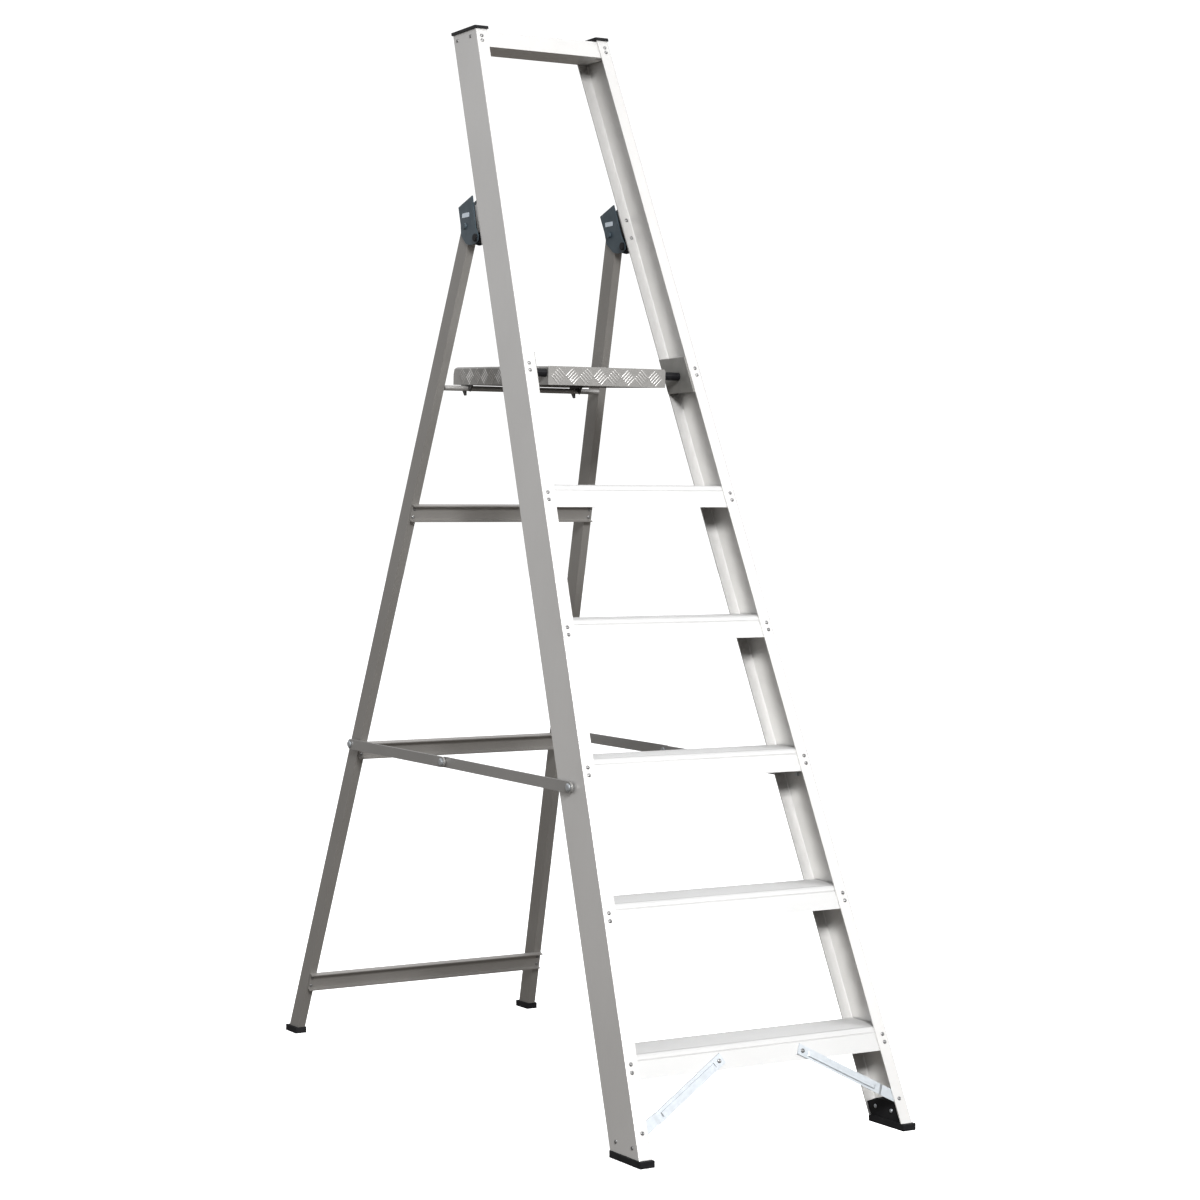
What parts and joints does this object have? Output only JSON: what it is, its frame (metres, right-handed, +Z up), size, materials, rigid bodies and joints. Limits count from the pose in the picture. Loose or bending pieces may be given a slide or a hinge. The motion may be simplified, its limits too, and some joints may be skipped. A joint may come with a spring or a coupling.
{
  "type": "platform step ladder",
  "caption": "Folding aluminium platform step ladder: tapering channel stiles with flat treads, a tread-plate platform, a handrail loop above it, a hinged rear frame and side stays.",
  "frame": {"origin": "middle of the footprint of the open ladder, on the floor", "axes": "+X across the treads, +Y from the front stiles back to the rear frame, +Z up"},
  "size_m": [0.5972, 1.4986, 2.0973],
  "materials": {
    "stile_aluminium": "satin mill-finish extrusion",
    "tread_aluminium": "satin extrusion with ribbed top",
    "rear_aluminium": "duller mill finish",
    "deck_aluminium": "five-bar tread plate",
    "stay_steel": "plain flat bar",
    "zinc_steel": "bright zinc plate",
    "hinge_steel": "dark blue-grey",
    "grey_bracket": "mid grey",
    "dark_steel": "dark",
    "black_rubber": "matt",
    "black_plastic": "moulded"
  },
  "bodies": {
    "front_frame": {"stile_left": "stile_aluminium", "stile_right": "stile_aluminium", "tread_1": "tread_aluminium", "tread_2": "tread_aluminium", "tread_3": "tread_aluminium", "tread_4": "tread_aluminium", "tread_5": "tread_aluminium", "top_rail": "stile_aluminium", "top_cap_left": "black_plastic", "top_cap_right": "black_plastic", "front_foot_left": "black_rubber", "front_foot_right": "black_rubber", "knee_brace_left": "zinc_steel", "knee_brace_right": "zinc_steel", "hinge_bracket_left": "stile_aluminium", "hinge_bracket_right": "stile_aluminium", "hinge_block_left": "black_plastic", "hinge_block_right": "black_plastic", "hinge_pin_left": "black_plastic", "hinge_pin_right": "black_plastic", "platform_bracket_left": "grey_bracket", "platform_bracket_right": "grey_bracket", "platform_bolt_left": "zinc_steel", "platform_bolt_right": "zinc_steel", "platform_spacer_left": "black_plastic", "platform_spacer_right": "black_plastic", "stay_front_bolt_left": "zinc_steel", "stay_front_bolt_right": "zinc_steel"},
    "rear_frame": {"rear_leg_left": "rear_aluminium", "rear_leg_right": "rear_aluminium", "rear_foot_left": "black_rubber", "rear_foot_right": "black_rubber", "rear_rail_upper": "rear_aluminium", "rear_rail_middle": "rear_aluminium", "rear_rail_lower": "rear_aluminium", "support_bar": "stay_steel", "hinge_plate_outer_left": "hinge_steel", "hinge_plate_outer_right": "hinge_steel", "hinge_plate_inner_left": "hinge_steel", "hinge_plate_inner_right": "hinge_steel", "leg_bolt_left": "hinge_steel", "leg_bolt_right": "hinge_steel", "stay_rear_bolt_left": "zinc_steel", "stay_rear_bolt_right": "zinc_steel"},
    "platform": {"platform_deck": "deck_aluminium", "platform_hook_left": "dark_steel", "platform_hook_right": "dark_steel"},
    "stay_front_left": {"stay_front_link_left": "stay_steel", "stay_mid_nut_left": "zinc_steel"},
    "stay_rear_left": {"stay_rear_link_left": "stay_steel", "stay_mid_bolt_left": "zinc_steel"},
    "stay_front_right": {"stay_front_link_right": "stay_steel", "stay_mid_nut_right": "zinc_steel"},
    "stay_rear_right": {"stay_rear_link_right": "stay_steel", "stay_mid_bolt_right": "zinc_steel"}
  },
  "joints": [
    {"name": "frame_fold", "type": "hinge", "parent": "front_frame", "child": "rear_frame", "pos_m": [0, 0.0547, 1.6685], "axis": [1, 0, 0], "range_deg": [-41, 0]},
    {"name": "platform_tilt", "type": "hinge", "parent": "front_frame", "child": "platform", "pos_m": [0, -0.1383, 1.3935], "axis": [1, 0, 0], "range_deg": [0, 66]},
    {"name": "stay_front_left_turn", "type": "hinge", "parent": "front_frame", "child": "stay_front_left", "pos_m": [-0.2536, -0.4413, 0.626], "axis": [1, 0, 0], "range_deg": [0, 48]},
    {"name": "stay_rear_left_turn", "type": "hinge", "parent": "rear_frame", "child": "stay_rear_left", "pos_m": [-0.259, 0.4877, 0.643], "axis": [1, 0, 0], "range_deg": [-77, 0]},
    {"name": "stay_front_right_turn", "type": "hinge", "parent": "front_frame", "child": "stay_front_right", "pos_m": [0.2536, -0.4413, 0.626], "axis": [1, 0, 0], "range_deg": [0, 48]},
    {"name": "stay_rear_right_turn", "type": "hinge", "parent": "rear_frame", "child": "stay_rear_right", "pos_m": [0.259, 0.4877, 0.643], "axis": [1, 0, 0], "range_deg": [-77, 0]}
  ],
  "couplings": [
    {"joint": "platform_tilt", "follows": "frame_fold", "ratio": -1.58},
    {"joint": "stay_front_left_turn", "follows": "frame_fold", "ratio": -1.144},
    {"joint": "stay_rear_left_turn", "follows": "frame_fold", "ratio": 1.8385},
    {"joint": "stay_front_right_turn", "follows": "frame_fold", "ratio": -1.144},
    {"joint": "stay_rear_right_turn", "follows": "frame_fold", "ratio": 1.8385}
  ]
}
